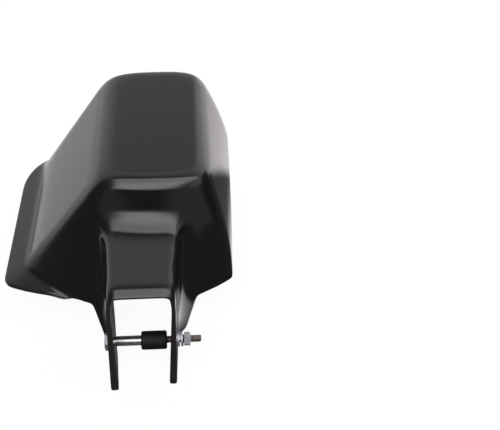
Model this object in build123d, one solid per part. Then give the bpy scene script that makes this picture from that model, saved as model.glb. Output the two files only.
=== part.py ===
from build123d import *
import math
import os

os.makedirs("parts", exist_ok=True)

# Hand guard for the left end of a handlebar: one formed plastic shell whose two ears
# straddle the lever pivot, and the shoulder bolt that goes through both ears.
# Millimetres. X runs along the pivot bolt, Y from the neck to the outer end, Z is square
# to the plateau. The origin is on the bolt's axis.

# Formed sheet
WALL = 4.0
PLATEAU_HEIGHT = 107.4
RIM_HEIGHT = 13.4
PLATEAU_EDGE_R = 15.0
EDGE_STEPS = 3

# Plateau outline: left, right, near and outer edges before they are rounded
PLATEAU_LEFT = -32.0
PLATEAU_RIGHT = 64.5
PLATEAU_NEAR = 67.5
PLATEAU_NEAR_BOW = 3.0
PLATEAU_OUTER = 244.0
PLATEAU_OUTER_LEFT = 236.0
PLATEAU_OUTER_RIGHT = 242.0

# The same walls where they reach the rim
FOOT_LEFT = -104.0
FOOT_RIGHT_NEAR = 73.0
FOOT_RIGHT_OUTER = 86.0
FOOT_NEAR_LEFT = 71.0
FOOT_NEAR_MID = 23.0
FOOT_NEAR_RIGHT = 53.0
FOOT_OUTER_LEFT = 220.0
FOOT_OUTER_MID = 243.0
FOOT_OUTER_RIGHT = 247.0
FOOT_MID_X = -8.0

# Upright corners of the bowl, at the rim and at the plateau
NEAR_LEFT_R = (14.0, 12.0)
NEAR_RIGHT_R = (5.0, 24.0)
OUTER_RIGHT_R = (20.0, 46.0)
OUTER_LEFT_R = (22.0, 16.0)
LEAST_R = 2.0

# Neck between the bowl and the ears
NECK_HALF_WIDTH = 26.8
NECK_SHIFT = 0.8
NECK_TOE = 3.5
WEB_HEIGHT = 70.2
WEB_RISE = 3.1
WEB_FRONT = -17.0
WEB_CORNER_R = 7.5
BLEND_SHARE = 0.85

# Ears
LEFT_EAR_TIP = -45.0
RIGHT_EAR_TIP = -40.0
EAR_DROP = 7.1
EAR_TIP_R = 3.0
EAR_FOOT = 34.5
EAR_FLARE = 43.8
EAR_FLARE_R = 5.0
RIM_START = 38.0

# Flange along the low side: its outline, its crease and where it runs out into the walls
FLANGE_EDGE = -116.5
FLANGE_CREASE = -100.0
FLANGE_RISE = 5.5
FLANGE_NEAR = 55.5
FLANGE_NEAR_CREASE = 66.0
FLANGE_NEAR_END = (-50.0, 32.0)
FLANGE_OUTER = 219.0
FLANGE_OUTER_CREASE = 210.0
FLANGE_OUTER_END = (-62.0, 232.5)
FLANGE_END_RISE = 4.8
FLANGE_NEAR_R = 9.0
FLANGE_OUTER_R = 24.0

# Rim raised along the upright side and the outer end
RAISED_NEAR = 1.0
RAISED_OUTER = 32.0
RAISED_LEFT = -66.0
RAISED_FULL = 5.0
RAISED_BEND_R = 25.0

# Shoulder bolt and the seats it pulls against
SHANK_D = 8.0
THREAD_D = 6.0
HEAD_AF = 13.0
HEAD_H = 5.3
SHOULDER_END = 16.0
BOLT_END = 46.0
BOLT_CHAMFER = 0.7
SEAT_D = 16.5
SEAT_CUT = 0.5
HOLE_CLEARANCE = 0.4

# Loose pieces on the bolt
SLEEVE_D = 15.0
SLEEVE_LENGTH = 20.4
SLEEVE_START = -2.0
SLEEVE_CLEARANCE = 0.4
SLEEVE_CHAMFER = 1.0
WASHER_D = 12.0
WASHER_T = 1.6
RING_D = 11.8
RING_SECTION = 1.7
RING_HEIGHT = 3.4
RING_GAP = 12.0
NUT_AF = 10.0
NUT_H = 5.0
THREAD_CLEARANCE = 0.2
HEX_TURNED = 1.3

# How far the forms run on past the finished sheet before they are trimmed
RUN_ON = 25.0
FAR = 300.0


def edge_inset(lean, drop, radius):
    """How far a wall stands inside its own plane at a drop below the plateau."""
    if drop >= radius * (1.0 - lean / math.hypot(1.0, lean)):
        return 0.0
    centre = radius * (lean - math.hypot(1.0, lean))
    return lean * drop - centre - math.sqrt(radius**2 - (radius - drop) ** 2)


def bowl_outline(level, depth):
    """Outline of the bowl at one height, set in by a depth measured square to each wall."""
    rise = PLATEAU_HEIGHT - RIM_HEIGHT
    share = (level - RIM_HEIGHT) / rise
    drop = PLATEAU_HEIGHT - depth - level

    def between(foot, top):
        return foot + (top - foot) * share

    def inset(lean):
        return depth * math.hypot(1.0, lean) + edge_inset(lean, drop, PLATEAU_EDGE_R - depth)

    plateau_mid = (PLATEAU_LEFT + PLATEAU_RIGHT) / 2.0
    left_in = inset((PLATEAU_LEFT - FOOT_LEFT) / rise)
    near_in = inset((PLATEAU_NEAR - FOOT_NEAR_MID) / rise)
    right_in = inset((FOOT_RIGHT_NEAR - PLATEAU_RIGHT) / rise)
    outer_in = inset((FOOT_OUTER_RIGHT - PLATEAU_OUTER) / rise)

    left = between(FOOT_LEFT, PLATEAU_LEFT) + left_in
    near_left = (left, between(FOOT_NEAR_LEFT, PLATEAU_NEAR + PLATEAU_NEAR_BOW) + near_in)
    near_mid = (between(FOOT_MID_X, plateau_mid), between(FOOT_NEAR_MID, PLATEAU_NEAR) + near_in)
    near_right = (
        between(FOOT_RIGHT_NEAR, PLATEAU_RIGHT) - right_in,
        between(FOOT_NEAR_RIGHT, PLATEAU_NEAR + PLATEAU_NEAR_BOW) + near_in,
    )
    outer_right = (
        between(FOOT_RIGHT_OUTER, PLATEAU_RIGHT) - right_in,
        between(FOOT_OUTER_RIGHT, PLATEAU_OUTER_RIGHT) - outer_in,
    )
    outer_mid = (between(FOOT_MID_X, plateau_mid), between(FOOT_OUTER_MID, PLATEAU_OUTER) - outer_in)
    outer_left = (left, between(FOOT_OUTER_LEFT, PLATEAU_OUTER_LEFT) - outer_in)

    face = make_face(
        [
            Line(outer_left, near_left),
            ThreePointArc(near_left, near_mid, near_right),
            Line(near_right, outer_right),
            ThreePointArc(outer_right, outer_mid, outer_left),
        ]
    )
    shrink = depth + edge_inset(0.0, drop, PLATEAU_EDGE_R - depth)
    for corner, (foot_r, top_r) in (
        (near_left, NEAR_LEFT_R),
        (near_right, NEAR_RIGHT_R),
        (outer_right, OUTER_RIGHT_R),
        (outer_left, OUTER_LEFT_R),
    ):
        vertex = face.vertices().sort_by_distance(corner)[0]
        face = fillet(vertex, max(between(foot_r, top_r) - shrink, LEAST_R))
    return Plane.XY.offset(level) * face


def bowl_form(depth):
    """Solid bowl, upside down: walls ruled up to the plateau, plateau edge rounded."""
    top = PLATEAU_HEIGHT - depth
    radius = PLATEAU_EDGE_R - depth
    turns = [math.pi / 2.0 * k / EDGE_STEPS for k in range(EDGE_STEPS + 1)]
    levels = [top - radius * (1.0 - math.cos(turn)) for turn in turns] + [-RUN_ON]
    return loft([bowl_outline(level, depth) for level in reversed(levels)], ruled=True)


def web_plane(depth):
    """Plane of the web over the neck, set in by a depth."""
    rise = math.radians(WEB_RISE)
    normal = (0, -math.sin(rise), math.cos(rise))
    return Plane((0, WEB_FRONT, WEB_HEIGHT), x_dir=(1, 0, 0), z_dir=normal).offset(-depth)


def neck_form(depth):
    """Neck block: sides that toe in towards the free end, top corners rounded."""
    slope = math.tan(math.radians(NECK_TOE))
    half = NECK_HALF_WIDTH - depth / math.cos(math.radians(NECK_TOE))
    front, back = LEFT_EAR_TIP - RUN_ON, PLATEAU_NEAR + RUN_ON
    wf, wb = half + slope * front, half + slope * back
    plan = make_face(Polyline((-wf, front), (wf, front), (wb, back), (-wb, back), close=True))
    block = Pos(NECK_SHIFT, 0, -RUN_ON) * extrude(plan, PLATEAU_HEIGHT)
    block = split(block, bisect_by=web_plane(depth), keep=Keep.BOTTOM)
    top = block.faces().sort_by(Axis.Z)[-1]
    ridges = [e for e in top.edges() if abs(e.tangent_at(0.5).Y) > 0.9]
    return fillet(ridges, WEB_CORNER_R - depth)


def solid_form(depth):
    """Bowl and neck together, blended over most of the wall that is left above the web."""
    bowl, neck = bowl_form(depth), neck_form(depth)
    both = bowl + neck
    seam = new_edges(bowl, neck, combined=both)
    web_end = WEB_HEIGHT + (PLATEAU_NEAR - WEB_FRONT) * math.tan(math.radians(WEB_RISE))
    wall_left = PLATEAU_HEIGHT - PLATEAU_EDGE_R - web_end
    return fillet(seam, BLEND_SHARE * wall_left + depth)


def under(planes, x_range, y_range):
    """Block of the given plan that lies under every one of the planes."""
    (x0, x1), (y0, y1) = x_range, y_range
    block = Pos((x0 + x1) / 2.0, (y0 + y1) / 2.0, 0) * Box(x1 - x0, y1 - y0, 2.0 * FAR)
    for plane in planes:
        block = split(block, bisect_by=plane, keep=Keep.BOTTOM)
    return block


def through(a, b, c):
    """Plane through three points, facing up."""
    a, b, c = Vector(*a), Vector(*b), Vector(*c)
    normal = (b - a).cross(c - a)
    return Plane(a, z_dir=normal if normal.Z > 0 else normal * -1.0)


def flange_planes(depth):
    """Upper planes of the flange along the side, the near cheek and the outer cheek."""
    crease, edge = RIM_HEIGHT + FLANGE_RISE, RIM_HEIGHT
    end = RIM_HEIGHT + FLANGE_END_RISE
    near = (FLANGE_CREASE, FLANGE_NEAR_CREASE, crease)
    outer = (FLANGE_CREASE, FLANGE_OUTER_CREASE, crease)
    planes = [
        through(near, outer, (FLANGE_EDGE, FLANGE_NEAR, edge)),
        through(near, (FLANGE_EDGE, FLANGE_NEAR, edge), (*FLANGE_NEAR_END, end)),
        through(outer, (FLANGE_EDGE, FLANGE_OUTER, edge), (*FLANGE_OUTER_END, end)),
    ]
    return [plane.offset(-depth) for plane in planes]


def flange_form():
    """Flange as a block under its upper planes, inside its own rounded outline."""
    inside = FLANGE_NEAR_END[0] + RUN_ON
    loop = FilletPolyline(
        (inside, FLANGE_OUTER_END[1] - RUN_ON),
        FLANGE_OUTER_END,
        (FLANGE_EDGE, FLANGE_OUTER),
        (FLANGE_EDGE, FLANGE_NEAR),
        FLANGE_NEAR_END,
        (inside, FLANGE_NEAR_END[1] + RUN_ON),
        radius=(0.0, 0.0, FLANGE_OUTER_R, FLANGE_NEAR_R, 0.0, 0.0),
        close=True,
    )
    plan = Pos(0, 0, -FAR) * extrude(make_face(loop), 2.0 * FAR)
    return plan & under(flange_planes(0.0), (-FAR, 0.0), (0.0, FAR))


def side_profile(tip):
    """What is kept of one ear in side view: its leaning front edge and level lower edge."""
    lean = (WEB_FRONT - tip) / (WEB_HEIGHT + EAR_DROP)
    above = (tip + lean * (PLATEAU_HEIGHT + EAR_DROP), PLATEAU_HEIGHT)
    ear = FilletPolyline(above, (tip, -EAR_DROP), (RIM_START, -EAR_DROP), radius=EAR_TIP_R)
    rest = Polyline((RIM_START, -EAR_DROP), (RIM_START, -FAR), (FAR, -FAR), (FAR, FAR), (tip, FAR), above)
    return Plane.YZ * make_face(ear.edges() + rest.edges())


def ear_flare():
    """Block taken away beside an ear, so that the rim runs down into the ear's lower edge."""
    rim = RIM_HEIGHT + RAISED_NEAR
    slope = (EAR_FLARE - EAR_FOOT) / (rim + EAR_DROP)
    low = (EAR_FOOT - slope * RUN_ON, -EAR_DROP - RUN_ON)
    loop = FilletPolyline(
        low, (EAR_FLARE, rim), (FAR, rim), (FAR, low[1]), radius=(0.0, EAR_FLARE_R, 0.0, 0.0), close=True
    )
    right = Plane.XZ.offset(-FOOT_NEAR_RIGHT) * extrude(make_face(loop), FAR)
    flange = Pos(-FLANGE_NEAR_END[0] + FAR, 0, 0) * Box(2.0 * FAR, 2.0 * FAR, 2.0 * FAR)
    return right + mirror(right - flange, Plane.YZ)


def raised_rim():
    """Block taken away under the upright side and the outer end, its bend rounded."""
    near, full = RIM_HEIGHT + RAISED_NEAR, RIM_HEIGHT + RAISED_OUTER
    along = through(
        (0, FOOT_NEAR_RIGHT, near), (FAR, FOOT_NEAR_RIGHT, near), (0, FOOT_OUTER_RIGHT, full)
    )
    across = through((RAISED_LEFT, 0, RIM_HEIGHT), (RAISED_LEFT, FAR, RIM_HEIGHT), (RAISED_FULL, 0, full))
    block = under([along, across], (RAISED_LEFT, FAR), (RIM_START, FAR))
    ridge = block.edges().filter_by(lambda e: RAISED_LEFT < e.center().X < PLATEAU_RIGHT)
    return fillet(ridge.sort_by(Axis.Z)[-1], RAISED_BEND_R)


def ear_seat(side):
    """Station of the flat seat on the outer face of one ear."""
    return NECK_SHIFT + side * (NECK_HALF_WIDTH - SEAT_CUT)


def bar(diameter, start, end):
    """Round bar on the bolt's axis between two stations."""
    solid = Cylinder(diameter / 2.0, end - start, align=(Align.CENTER, Align.CENTER, Align.MIN))
    return Plane.YZ.offset(start) * solid


def ear_holes():
    """Seats and holes for the bolt: the shank fills the left hole, its thread the right one."""
    left, right = ear_seat(-1), ear_seat(1)
    seats = bar(SEAT_D, left - RUN_ON, left) + bar(SEAT_D, right, right + RUN_ON)
    shank_hole = bar(SHANK_D + HOLE_CLEARANCE, left - RUN_ON, 0)
    return seats + shank_hole + bar(THREAD_D + HOLE_CLEARANCE, 0, right + RUN_ON)


def shell():
    """The formed sheet: one form less the same form set in by the wall, then trimmed."""
    outer, inner = solid_form(0.0), solid_form(WALL)
    sheet = (outer + flange_form()) - inner
    sheet -= under(flange_planes(WALL), (-FAR, FLANGE_NEAR_END[0]), (0.0, FAR))
    sheet &= extrude(side_profile(RIGHT_EAR_TIP), FAR) + extrude(side_profile(LEFT_EAR_TIP), -FAR)
    sheet -= raised_rim() + ear_flare()
    sheet -= ear_holes()
    return max(sheet.solids(), key=lambda solid: solid.volume)


def hexagon(across, start, height, both_ends):
    """Hexagonal head or nut on the bolt's axis with its corners turned off."""
    plan = RegularPolygon(across / 2.0, 6, major_radius=False)
    prism = Plane.YZ.offset(start) * extrude(plan, height)
    corner = across / math.cos(math.pi / 6.0)
    turned = bar(corner, start, start + height)
    ends = turned.edges().filter_by(GeomType.CIRCLE).sort_by(Axis.X)
    cut = (corner - across) / 2.0
    return prism & chamfer(ends if both_ends else ends[:1], cut * math.tan(math.pi / 6.0), cut * HEX_TURNED)


def shoulder_bolt():
    seat = ear_seat(-1)
    head = hexagon(HEAD_AF, seat - HEAD_H, HEAD_H, False)
    shank = bar(SHANK_D, seat, SHOULDER_END)
    thread = bar(THREAD_D, SHOULDER_END, BOLT_END)
    thread = chamfer(thread.edges().filter_by(GeomType.CIRCLE).sort_by(Axis.X)[-1], BOLT_CHAMFER)
    return head + shank + thread


def spacer_sleeve():
    """Loose on the shank, so it hangs from the shank by half its clearance."""
    bore = SHANK_D + SLEEVE_CLEARANCE
    tube = bar(SLEEVE_D, SLEEVE_START, SLEEVE_START + SLEEVE_LENGTH)
    tube = chamfer(tube.edges().filter_by(GeomType.CIRCLE), SLEEVE_CHAMFER)
    return Pos(0, 0, -SLEEVE_CLEARANCE / 2.0) * (tube - bar(bore, -RUN_ON, RUN_ON))


def flat_washer():
    seat = ear_seat(1)
    return bar(WASHER_D, seat, seat + WASHER_T) - bar(THREAD_D + HOLE_CLEARANCE, 0, BOLT_END)


def spring_washer():
    """Split ring, one turn of a square-cut coil whose ends stand apart."""
    seat = ear_seat(1) + WASHER_T
    bore = THREAD_D + HOLE_CLEARANCE
    turn = 1.0 - RING_GAP / 360.0
    climb = RING_HEIGHT - RING_SECTION
    middle = (RING_D + bore) / 4.0
    path = Helix(climb / turn, climb, middle)
    across = Plane((middle, 0, 0), x_dir=(1, 0, 0), z_dir=(0, 1, 0))
    section = across * Rectangle((RING_D - bore) / 2.0, RING_SECTION)
    coil = sweep(section, path=path, is_frenet=True)
    return Plane.YZ.offset(seat + RING_SECTION / 2.0) * coil


def hex_nut():
    start = ear_seat(1) + WASHER_T + RING_HEIGHT
    return hexagon(NUT_AF, start, NUT_H, True) - bar(THREAD_D + THREAD_CLEARANCE, 0, BOLT_END)


export_step(shell(), "parts/shell.step")
export_step(shoulder_bolt(), "parts/shoulder_bolt.step")
export_step(spacer_sleeve(), "parts/spacer_sleeve.step")
export_step(flat_washer(), "parts/flat_washer.step")
export_step(spring_washer(), "parts/spring_washer.step")
export_step(hex_nut(), "parts/hex_nut.step")
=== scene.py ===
# %% [markdown]
# # A hand guard for the left end of a handlebar
# The guard is one formed sheet of black plastic, 4 mm thick, with a shoulder bolt through
# its two ears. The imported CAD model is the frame: every size below is in its frame, where X
# runs along the bolt, Y from the neck to the outer end and Z is square to the plateau. The
# lesson makes the sheet and the bolt again, finer than the CAD does, and gives every other
# piece a better finish.

import math

import bmesh
import bpy
import numpy as np
from mathutils import Matrix, Vector


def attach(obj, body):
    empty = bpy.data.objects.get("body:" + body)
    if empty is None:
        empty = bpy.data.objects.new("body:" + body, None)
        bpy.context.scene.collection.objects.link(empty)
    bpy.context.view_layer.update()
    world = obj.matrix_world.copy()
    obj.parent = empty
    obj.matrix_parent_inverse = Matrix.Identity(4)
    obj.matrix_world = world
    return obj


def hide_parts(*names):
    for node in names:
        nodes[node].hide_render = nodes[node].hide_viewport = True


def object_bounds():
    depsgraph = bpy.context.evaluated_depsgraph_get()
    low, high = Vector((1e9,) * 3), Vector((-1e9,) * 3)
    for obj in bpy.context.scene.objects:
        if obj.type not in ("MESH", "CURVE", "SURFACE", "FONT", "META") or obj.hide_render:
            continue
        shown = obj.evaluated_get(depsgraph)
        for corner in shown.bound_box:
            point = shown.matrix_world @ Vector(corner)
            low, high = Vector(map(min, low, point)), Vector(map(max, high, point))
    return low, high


MM = 0.001
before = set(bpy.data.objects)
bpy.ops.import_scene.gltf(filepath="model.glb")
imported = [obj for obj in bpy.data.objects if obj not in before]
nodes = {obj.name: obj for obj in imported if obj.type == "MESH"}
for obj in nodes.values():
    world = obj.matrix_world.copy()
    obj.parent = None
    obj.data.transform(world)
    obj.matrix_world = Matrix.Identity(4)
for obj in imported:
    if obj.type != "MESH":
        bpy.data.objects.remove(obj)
cad_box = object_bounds()
print("CAD nodes:", sorted(nodes))

# %% [markdown]
# The camera comes first, because each finish is judged through it. It looks down on the
# plateau from the neck's side. A camera looks along its own -Z, so its matrix is made of the
# three directions that it sees as right, up and backwards.

# %% Camera
EYE = Vector((0.0330, -0.4404, 0.5084))
LOOK = Vector((0.0822, 0.7556, -0.6498)).normalized()
LEVEL = Vector((0.9963, -0.0785, 0.0348)).normalized()
LENS, SENSOR = 59.26, 36.0
CLIP_NEAR, CLIP_FAR = 0.01, 20.0

up = LEVEL.cross(LOOK).normalized()
right = LOOK.cross(up)
lens = bpy.data.cameras.new("photo_camera")
lens.lens, lens.sensor_width, lens.sensor_fit = LENS, SENSOR, "HORIZONTAL"
lens.clip_start, lens.clip_end = CLIP_NEAR, CLIP_FAR
camera = bpy.data.objects.new("photo_camera", lens)
camera.matrix_world = Matrix((right, up, -LOOK)).transposed().to_4x4()
camera.location = EYE
bpy.context.collection.objects.link(camera)
bpy.context.scene.camera = camera
print("Camera pitch in degrees:", round(math.degrees(math.asin(LOOK.z)), 1))

# %% [markdown]
# ## The formed sheet
# A moulded sheet is smooth everywhere: each wall flows into the next through a soft corner.
# A mesh that is bevelled by hand shows every seam of its bevels in a glossy finish, so this
# shell is described as a *distance field* instead. Each wall is a function that is negative
# inside the form and positive outside, and a smooth maximum joins two walls with a rounded
# corner. The cubic below has no jump in its curvature, so reflections run over the corner
# without a kink. How wide the cubic has to be for a round of a given radius depends on the
# angle that the two walls turn through.

# %% Smooth joins
SQUARE = 6.0 * (1.0 - math.sqrt(0.5))
COSINE_RANGE = (-0.95, 0.995)


def lerp(a, b, t):
    return a + (b - a) * t


def ramp(a, b, t):
    """0 at a, 1 at b, eased in between and level past both."""
    u = np.clip((t - a) / (b - a), 0.0, 1.0)
    return u * u * (3.0 - 2.0 * u)


def smooth_max(a, b, width):
    h = np.maximum(width - np.abs(a - b), 0.0) / width
    return np.maximum(a, b) + h**3 * width / 6.0


def smooth_min(a, b, width):
    return -smooth_max(-a, -b, width)


def round_width(radius, cosine):
    """Width of the cubic that rounds a corner, from the cosine between the walls' normals."""
    return 6.0 * radius * (1.0 - np.sqrt((1.0 + np.clip(cosine, *COSINE_RANGE)) / 2.0))


print("Width of the cubic for a square corner of radius 1:", round(SQUARE, 3))

# %% [markdown]
# The bowl has four walls that rise from the rim to the plateau. The left wall is the long
# slope. The right one is upright at its foot and bows in towards the plateau. The near and
# outer walls are arcs in plan, given by three points at the rim and three at the plateau, so
# their bow changes with height. Sizes are in millimetres, and a pair of radii is for the rim
# and the plateau.

# %% Bowl
RIM, PLATEAU = 13.4, 107.4
FOOT_LEFT, PLATEAU_LEFT = -104.0, -32.0
FOOT_RIGHT_NEAR, FOOT_RIGHT_OUTER, PLATEAU_RIGHT = 74.5, 86.0, 53.0
RIGHT_FALL_NEAR, RIGHT_FALL_OUTER = 4.0, 12.0
RIGHT_NEAR_Y, RIGHT_OUTER_Y = 53.0, 247.0
NEAR_FOOT = ((-104.0, 71.0), (-8.0, 23.0), (74.5, 53.0))
NEAR_TOP = ((-32.0, 70.5), (16.25, 70.3), (64.5, 73.5))
OUTER_FOOT = ((-104.0, 220.0), (-8.0, 243.0), (86.0, 247.0))
OUTER_TOP = ((-32.0, 238.7), (16.25, 246.7), (64.5, 244.7))
NEAR_LEFT_R, NEAR_RIGHT_R = (24.0, 14.0), (5.0, 24.0)
OUTER_RIGHT_R, OUTER_LEFT_R = (20.0, 26.0), (22.0, 16.0)
LEFT_SHOULDER_R, RIGHT_SHOULDER_R, NEAR_SHOULDER_R, OUTER_SHOULDER_R = 27.0, 17.0, 15.0, 15.0
ARC_SHARE, SHARE_STEP, MIX = 0.95, 0.01, 30.0


def arc_wall(x, share, foot, top, side):
    """Where a bowed wall stands in Y: an arc through three points, straight past its ends."""
    (ax, ay), (bx, by), (cx, cy) = [
        (lerp(f[0], t[0], share), lerp(f[1], t[1], share)) for f, t in zip(foot, top)
    ]
    twice = 2.0 * (ax * (by - cy) + bx * (cy - ay) + cx * (ay - by))
    a2, b2, c2 = ax**2 + ay**2, bx**2 + by**2, cx**2 + cy**2
    mx = (a2 * (by - cy) + b2 * (cy - ay) + c2 * (ay - by)) / twice
    my = (a2 * (cx - bx) + b2 * (ax - cx) + c2 * (bx - ax)) / twice
    radius = np.hypot(ax - mx, ay - my)
    turn = np.clip((x - mx) / radius, -ARC_SHARE, ARC_SHARE)
    drop = np.sqrt(1.0 - turn**2)
    slope = -side * turn / drop
    return my + side * radius * drop + slope * (x - mx - turn * radius), slope


def bowed_wall(x, y, share, foot, top, side):
    """Distance outside a bowed wall, with its normal."""
    wall, slope = arc_wall(x, share, foot, top, side)
    lower, _ = arc_wall(x, share - SHARE_STEP, foot, top, side)
    lean = (wall - lower) / (SHARE_STEP * (PLATEAU - RIM))
    size = np.sqrt(1.0 + slope**2 + lean**2)
    return side * (y - wall) / size, (-side * slope / size, side / size, -side * lean / size)


def straight_wall(x, share, foot, top, side):
    """Distance outside a straight wall along Y, with its normal."""
    lean = (top - foot) / (PLATEAU - RIM)
    size = np.sqrt(1.0 + lean**2)
    return side * (x - lerp(foot, top, share)) / size, (side / size, 0.0, -side * lean / size)


def bulged_wall(x, y, share):
    """Distance outside the right wall, which bows in towards the top, with its normal."""
    back = (y - RIGHT_NEAR_Y) / (RIGHT_OUTER_Y - RIGHT_NEAR_Y)
    foot = lerp(FOOT_RIGHT_NEAR, FOOT_RIGHT_OUTER, back)
    fall = lerp(RIGHT_FALL_NEAR, RIGHT_FALL_OUTER, back)
    bulge = foot - PLATEAU_RIGHT - fall
    lean = -(fall + 2.0 * bulge * share) / (PLATEAU - RIM)
    size = np.sqrt(1.0 + lean**2)
    wall = foot - fall * share - bulge * share * np.abs(share)
    return (x - wall) / size, (1.0 / size, 0.0, -lean / size)


def bowl(x, y, z):
    share = np.minimum((z - RIM) / (PLATEAU - RIM), 1.0)
    left = straight_wall(x, share, FOOT_LEFT, PLATEAU_LEFT, -1.0)
    upright = bulged_wall(x, y, share)
    near = bowed_wall(x, y, share, NEAR_FOOT, NEAR_TOP, -1.0)
    outer = bowed_wall(x, y, share, OUTER_FOOT, OUTER_TOP, 1.0)

    def corner(a, b, radii):
        cosine = sum(p * q for p, q in zip(a[1], b[1]))
        radius = lerp(radii[0], radii[1], np.clip(share, 0.0, 1.0))
        return smooth_max(a[0], b[0], round_width(radius, cosine))

    left_near, near_right = corner(left, near, NEAR_LEFT_R), corner(near, upright, NEAR_RIGHT_R)
    right_outer, outer_left = corner(upright, outer, OUTER_RIGHT_R), corner(outer, left, OUTER_LEFT_R)
    walls = np.maximum(np.maximum(left_near, near_right), np.maximum(right_outer, outer_left))

    shoulders = (
        (left, LEFT_SHOULDER_R),
        (upright, RIGHT_SHOULDER_R),
        (near, NEAR_SHOULDER_R),
        (outer, OUTER_SHOULDER_R),
    )
    total, width = 1e-9, 0.0
    for k, (wall, radius) in enumerate(shoulders):
        rest = np.maximum.reduce([other[0] for j, (other, _) in enumerate(shoulders) if j != k])
        part = ramp(-MIX, MIX, wall[0] - rest)
        total, width = total + part, width + part * round_width(radius, wall[1][2])
    return smooth_max(walls, z - PLATEAU, width / total)


print("Bowl:", PLATEAU - RIM, "mm from rim to plateau,", FOOT_RIGHT_OUTER - FOOT_LEFT, "mm across its foot")

# %% [markdown]
# The neck is a channel turned upside down. Its sides toe in towards the ears, but stay
# parallel beside the bolt, where the bolt's head and the washer need flat seats. Its web rolls
# down at the front. The flange is a low brim along the slope's foot, made of three planes. At
# both of its ends it sinks under the bowl's foot, so that it seems to grow out of the wall.

# %% Neck and flange
NECK_MIDDLE, SEAT_HALF, SEAT_REACH, SEAT_W = 0.8, 26.3, 7.0, 6.0
TOE_FREE, TOE_BOWL, TOE_FLARE = 0.035, 0.085, 0.22
FLARE_LOW, FLARE_HIGH = 5.0, 50.0
WEB_FRONT, WEB_HEIGHT, WEB_RISE = -17.0, 70.2, math.radians(3.1)
WEB_R, NECK_END = 7.5, 100.0
WEB_ROLL, WEB_ROLL_R = 11.0, 24.0
BLEND_HIGH, BLEND_LOW_LEFT, BLEND_LOW_RIGHT, BLEND_LEAST = 13.0, 15.0, 12.0, 0.5
BLEND_X, BLEND_Z, BLEND_FADE = (-20.0, 20.0), (0.0, 45.0), (70.0, 95.0)
FLANGE_CREASE = ((-100.0, 66.0, 18.9), (-100.0, 210.0, 18.9))
FLANGE_EDGE = ((-116.5, 52.5, 13.4), (-116.5, 219.0, 13.4))
FLANGE_END = ((-50.0, 29.0, 18.2), (-62.0, 232.5, 18.2))
FLANGE_RIDGE_W, FLANGE_ROOT_W = 4.0, 3.0
NEAR_SINK, NEAR_SINK_X = 7.0, (-80.0, -40.0)
OUTER_SINK, OUTER_SINK_X, SINK_CHANGE = 14.0, (-94.0, -78.0), (90.0, 180.0)
FLANGE_STOP, FLANGE_STOP_W = (-47.0, -59.0), 6.0


def neck(x, y, z):
    half = SEAT_HALF + TOE_FREE * smooth_min(y + SEAT_REACH, 0.0 * y, SEAT_W)
    toe = lerp(TOE_BOWL, TOE_BOWL + TOE_FLARE, ramp(FLARE_HIGH, FLARE_LOW, z))
    half = half + toe * smooth_max(y - SEAT_REACH, 0.0 * y, SEAT_W)
    sides = np.abs(x - NECK_MIDDLE) - half
    roll = np.maximum(WEB_FRONT + WEB_ROLL - y, 0.0) ** 2 / (2.0 * WEB_ROLL_R)
    web = (z + roll - WEB_HEIGHT - math.tan(WEB_RISE) * (y - WEB_FRONT)) * math.cos(WEB_RISE)
    return np.maximum(smooth_max(sides, web, SQUARE * WEB_R), y - NECK_END)


def over_plane(x, y, z, a, b, c):
    """Height over the plane through three points, square to it."""
    a, b, c = (np.array(p) for p in (a, b, c))
    normal = np.cross(b - a, c - a)
    normal = normal / np.linalg.norm(normal) * (1.0 if normal[2] > 0.0 else -1.0)
    return (x - a[0]) * normal[0] + (y - a[1]) * normal[1] + (z - a[2]) * normal[2]


def flange(x, y, z):
    side = over_plane(x, y, z, FLANGE_CREASE[0], FLANGE_CREASE[1], FLANGE_EDGE[0])
    near = over_plane(x, y, z, FLANGE_CREASE[0], FLANGE_EDGE[0], FLANGE_END[0])
    outer = over_plane(x, y, z, FLANGE_CREASE[1], FLANGE_EDGE[1], FLANGE_END[1])
    brim = smooth_max(smooth_max(side, near, FLANGE_RIDGE_W), outer, FLANGE_RIDGE_W)
    back = ramp(*SINK_CHANGE, y)
    brim = brim + lerp(NEAR_SINK * ramp(*NEAR_SINK_X, x), OUTER_SINK * ramp(*OUTER_SINK_X, x), back)
    return smooth_max(brim, x - lerp(*FLANGE_STOP, back), FLANGE_STOP_W)


def form(x, y, z):
    """Everything together: negative inside the solid that the sheet is drawn over."""
    low = lerp(BLEND_LOW_LEFT, BLEND_LOW_RIGHT, ramp(*BLEND_X, x))
    blend = SQUARE * lerp(low, BLEND_HIGH, ramp(*BLEND_Z, z))
    blend = lerp(blend, BLEND_LEAST, ramp(*BLEND_FADE, y))
    body = smooth_min(bowl(x, y, z), neck(x, y, z), blend)
    return smooth_min(body, flange(x, y, z), FLANGE_ROOT_W)


print("Neck:", 2.0 * SEAT_HALF, "mm across its seats,", WEB_HEIGHT, "mm high over the bolt")

# %% [markdown]
# The sheet's edge is where the maker trimmed it. A second field says how far inside the trim
# a point is: the leaning front of the ears, the lower edge that climbs along the right side
# and the outer end, the brim's outline and the two bolt holes. The brim's outline is a few
# straight lines, and past its two ends a large number sets the brim's lines free, so that
# they don't cut the ears or the outer wall.

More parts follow.
